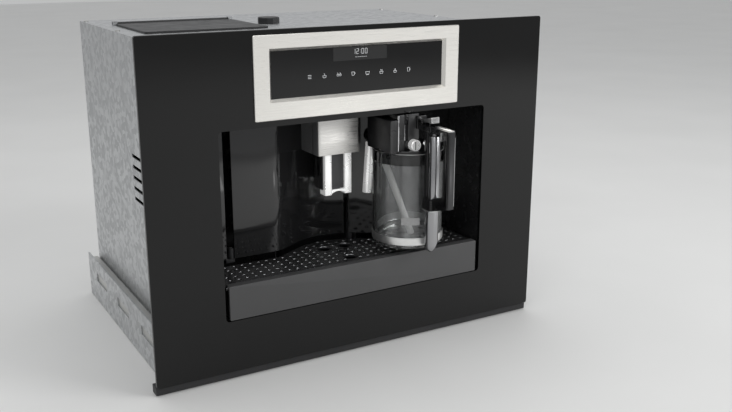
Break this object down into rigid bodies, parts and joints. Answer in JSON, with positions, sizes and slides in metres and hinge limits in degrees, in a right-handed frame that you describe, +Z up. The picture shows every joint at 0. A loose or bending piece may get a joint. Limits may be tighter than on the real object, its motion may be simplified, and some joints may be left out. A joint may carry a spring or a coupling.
{
  "type": "built-in coffee machine",
  "caption": "Built-in coffee machine on slides, with a dark glass front, steel display bezel, service door, coffee spout, drip tray and milk carafe.",
  "frame": {"origin": "middle of the cabinet's front edge, on the cabinet floor, at the front of the frame's flanges", "axes": "+X to the right seen from the front, +Y into the cabinet, +Z up"},
  "size_m": [0.595, 0.491, 0.455],
  "materials": {
    "galvanised": "galvanised sheet",
    "zinc_steel": "zinc plated",
    "black_plastic": "fine grain",
    "black_glass": "toughened glass, printed black behind, so opaque",
    "brushed_steel": "brushed along X",
    "display_glass": "gloss",
    "board_green": "solder mask",
    "gloss_black": "high gloss",
    "grey_plastic": "moulded",
    "motor_black": "satin paint",
    "cast_aluminium": "as cast",
    "tool_steel": "ground",
    "clear_plastic": "clear moulded plastic",
    "boiler_steel": "deep drawn",
    "brass": "machined",
    "satin_grey": "satin",
    "chrome": "polished",
    "clear_glass": "clear",
    "smoked_plastic": "dark translucent plastic",
    "milk_hose": "silicone"
  },
  "bodies": {
    "cabinet_mount": {"cabinet_frame": "galvanised", "outer_slides": "zinc_steel"},
    "slide_middles": {"middle_slides": "zinc_steel"},
    "machine": {"inner_slides": "zinc_steel", "base_pan": "galvanised", "side_panel_left": "galvanised", "side_panel_right": "galvanised", "rear_panel": "galvanised", "top_cover": "galvanised", "case_screws": "zinc_steel", "front_frame": "black_plastic", "front_glass": "black_glass", "display_bezel": "brushed_steel", "display_glass": "display_glass", "touch_board": "board_green", "niche_liner": "black_plastic", "niche_wall_left": "gloss_black", "niche_wall_right": "gloss_black", "steam_nozzle": "black_plastic", "hinge_pins": "zinc_steel", "chassis_shelf": "galvanised", "grounds_container": "black_plastic", "brew_unit": "grey_plastic", "grinder_motor": "motor_black", "grinder_body": "cast_aluminium", "burr_ring": "tool_steel", "bean_hopper": "clear_plastic", "thermoblock": "cast_aluminium", "steam_boiler": "boiler_steel", "water_pump": "motor_black", "solenoid_valve": "brass", "control_board": "board_green", "power_inlet": "black_plastic"},
    "burr_cone": {"burr_cone": "tool_steel"},
    "brew_piston": {"brew_piston": "grey_plastic"},
    "grind_knob": {"grind_knob": "black_plastic"},
    "bean_lid": {"bean_lid": "black_plastic"},
    "power_switch": {"power_switch": "black_plastic"},
    "water_tank": {"water_tank": "clear_plastic"},
    "tank_lid": {"tank_lid": "black_plastic"},
    "drip_tray": {"tray_front": "satin_grey", "drip_tray": "black_plastic", "drip_grille": "gloss_black"},
    "tray_float": {"tray_float": "black_plastic"},
    "service_door": {"door_panel": "gloss_black", "spout_housing": "gloss_black", "spout_cover": "brushed_steel"},
    "coffee_spout": {"spout_body": "gloss_black", "spout_legs": "chrome"},
    "milk_carafe": {"milk_jug": "clear_glass", "jug_base_ring": "brushed_steel", "jug_collar": "smoked_plastic", "frother_head": "gloss_black", "jug_handle": "gloss_black", "handle_tubes": "chrome", "grip_trim": "chrome", "milk_tube": "milk_hose"},
    "froth_knob": {"froth_knob": "chrome"},
    "milk_spout": {"milk_spout": "chrome"},
    "thumb_lever": {"thumb_lever": "satin_grey"}
  },
  "joints": [
    {"name": "machine_slide", "type": "slide", "parent": "cabinet_mount", "child": "machine", "axis": [0, -1, 0], "range_m": [0, 0.27]},
    {"name": "slide_middle_travel", "type": "slide", "parent": "cabinet_mount", "child": "slide_middles", "axis": [0, -1, 0], "range_m": [0, 0.135]},
    {"name": "burr_spin", "type": "hinge", "parent": "machine", "child": "burr_cone", "pos_m": [-0.15, 0.205, 0.27], "axis": [0, 0, 1], "continuous": true},
    {"name": "brew_piston_lift", "type": "slide", "parent": "machine", "child": "brew_piston", "axis": [0, 0, 1], "range_m": [0, 0.03]},
    {"name": "grind_setting", "type": "hinge", "parent": "machine", "child": "grind_knob", "pos_m": [-0.03, 0.205, 0.445], "axis": [0, 0, 1], "range_deg": [0, 180]},
    {"name": "bean_lid_hinge", "type": "hinge", "parent": "machine", "child": "bean_lid", "pos_m": [-0.15, 0.28, 0.4445], "axis": [-1, 0, 0], "range_deg": [0, 95]},
    {"name": "power_rocker", "type": "hinge", "parent": "machine", "child": "power_switch", "pos_m": [0.178, 0.38, 0.043], "axis": [1, 0, 0], "range_deg": [0, 16]},
    {"name": "tank_pull", "type": "slide", "parent": "machine", "child": "water_tank", "axis": [1, 0, 0], "range_m": [0, 0.15]},
    {"name": "tank_lid_hinge", "type": "hinge", "parent": "water_tank", "child": "tank_lid", "pos_m": [0.156, 0.275, 0.328], "axis": [0, -1, 0], "range_deg": [0, 90]},
    {"name": "tray_pull", "type": "slide", "parent": "machine", "child": "drip_tray", "axis": [0, -1, 0], "range_m": [0, 0.15]},
    {"name": "float_rise", "type": "slide", "parent": "drip_tray", "child": "tray_float", "axis": [0, 0, 1], "range_m": [0, 0.005]},
    {"name": "service_door_hinge", "type": "hinge", "parent": "machine", "child": "service_door", "pos_m": [-0.156, 0.072, 0.235], "axis": [0, 0, -1], "range_deg": [0, 90]},
    {"name": "spout_height", "type": "slide", "parent": "service_door", "child": "coffee_spout", "axis": [0, 0, 1], "range_m": [0, 0.04]},
    {"name": "carafe_pull", "type": "slide", "parent": "machine", "child": "milk_carafe", "axis": [0, -1, 0], "range_m": [0, 0.12]},
    {"name": "froth_setting", "type": "hinge", "parent": "milk_carafe", "child": "froth_knob", "pos_m": [0.082, -0.02, 0.2884], "axis": [0, -1, 0], "range_deg": [0, 120]},
    {"name": "milk_spout_swing", "type": "hinge", "parent": "milk_carafe", "child": "milk_spout", "pos_m": [0.06, 0.056, 0.29], "axis": [0, 1, 0], "range_deg": [0, 12]},
    {"name": "clean_press", "type": "hinge", "parent": "milk_carafe", "child": "thumb_lever", "pos_m": [0.095, -0.028, 0.3215], "axis": [1, 0, 0], "range_deg": [0, 8], "stiffness_Nm_per_rad": 0.4, "springref_deg": -5.73}
  ],
  "couplings": [
    {"joint": "slide_middle_travel", "follows": "machine_slide", "ratio": 0.5}
  ]
}
